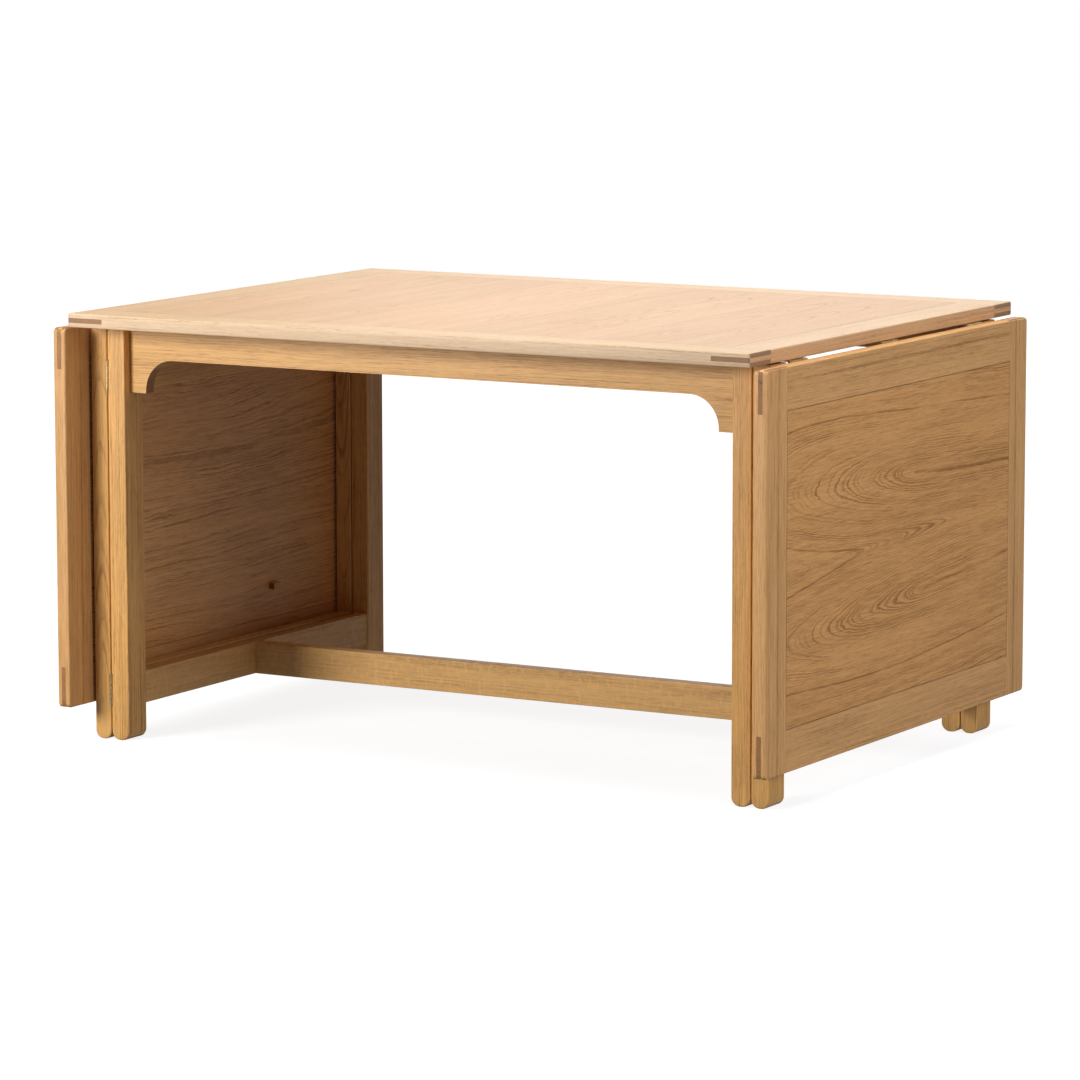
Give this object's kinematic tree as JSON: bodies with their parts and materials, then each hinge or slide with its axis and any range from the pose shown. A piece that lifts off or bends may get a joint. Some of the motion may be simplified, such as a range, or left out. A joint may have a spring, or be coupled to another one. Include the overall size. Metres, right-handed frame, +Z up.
{
  "type": "drop leaf table",
  "caption": "Rectangular oak table with a framed veneered top, a hinged leaf hanging at each end, folded gate legs behind the leaves, curved aprons and a low centre stretcher.",
  "frame": {"origin": "on the floor, under the middle of the table top", "axes": "+X along the length of the table from the left leaf to the right one, +Y from the front to the back, +Z up"},
  "size_m": [1.3264, 0.944, 0.72],
  "materials": {
    "top_oak": "oiled oak, satin, straight grain along each piece",
    "top_veneer": "oak veneer, satin, grain across the table from front to back",
    "leaf_oak": "oiled oak, satin, straight grain along each piece",
    "leaf_veneer": "oak veneer, satin, wavy grain from front to back",
    "base_oak": "oiled oak, satin, straight grain along each piece",
    "gate_oak": "oiled oak, satin, straight grain along each piece",
    "stop_wood": "dark stained hardwood, satin",
    "brass": "solid brass, brushed"
  },
  "bodies": {
    "table": {"top_front_rail": "top_oak", "top_back_rail": "top_oak", "top_left_end_rail": "top_oak", "top_right_end_rail": "top_oak", "top_panel": "top_veneer", "front_apron": "base_oak", "back_apron": "base_oak", "centre_stretcher": "base_oak", "left_cross_bearer": "base_oak", "right_cross_bearer": "base_oak", "front_left_leg": "base_oak", "back_left_leg": "base_oak", "left_lower_end_rail": "base_oak", "left_upper_end_rail": "base_oak", "left_gate_hinge_post": "gate_oak", "left_gate_free_leg": "gate_oak", "left_gate_lower_rail": "gate_oak", "left_gate_upper_rail": "gate_oak", "left_gate_lower_hinge_leg_plate": "brass", "left_gate_lower_hinge_gate_plate": "brass", "left_gate_upper_hinge_leg_plate": "brass", "left_gate_upper_hinge_gate_plate": "brass", "left_leaf_front_hinge_top_plate": "brass", "left_leaf_middle_hinge_top_plate": "brass", "left_leaf_back_hinge_top_plate": "brass", "front_right_leg": "base_oak", "back_right_leg": "base_oak", "right_lower_end_rail": "base_oak", "right_upper_end_rail": "base_oak", "right_gate_hinge_post": "gate_oak", "right_gate_free_leg": "gate_oak", "right_gate_lower_rail": "gate_oak", "right_gate_upper_rail": "gate_oak", "right_gate_lower_hinge_leg_plate": "brass", "right_gate_lower_hinge_gate_plate": "brass", "right_gate_upper_hinge_leg_plate": "brass", "right_gate_upper_hinge_gate_plate": "brass", "right_leaf_front_hinge_top_plate": "brass", "right_leaf_middle_hinge_top_plate": "brass", "right_leaf_back_hinge_top_plate": "brass"},
    "left_leaf": {"left_leaf_front_stile": "leaf_oak", "left_leaf_back_stile": "leaf_oak", "left_leaf_hinge_rail": "leaf_oak", "left_leaf_outer_rail": "leaf_oak", "left_leaf_panel": "leaf_veneer", "left_leaf_stop_block": "stop_wood", "left_leaf_front_hinge_leaf_plate": "brass", "left_leaf_middle_hinge_leaf_plate": "brass", "left_leaf_back_hinge_leaf_plate": "brass"},
    "right_leaf": {"right_leaf_front_stile": "leaf_oak", "right_leaf_back_stile": "leaf_oak", "right_leaf_hinge_rail": "leaf_oak", "right_leaf_outer_rail": "leaf_oak", "right_leaf_panel": "leaf_veneer", "right_leaf_stop_block": "stop_wood", "right_leaf_front_hinge_leaf_plate": "brass", "right_leaf_middle_hinge_leaf_plate": "brass", "right_leaf_back_hinge_leaf_plate": "brass"}
  },
  "joints": [
    {"name": "left_leaf_hinge", "type": "hinge", "parent": "table", "child": "left_leaf", "pos_m": [-0.6367, 0, 0.6935], "axis": [0, 1, 0], "range_deg": [0, 90]},
    {"name": "right_leaf_hinge", "type": "hinge", "parent": "table", "child": "right_leaf", "pos_m": [0.6367, 0, 0.6935], "axis": [0, -1, 0], "range_deg": [0, 90]}
  ]
}
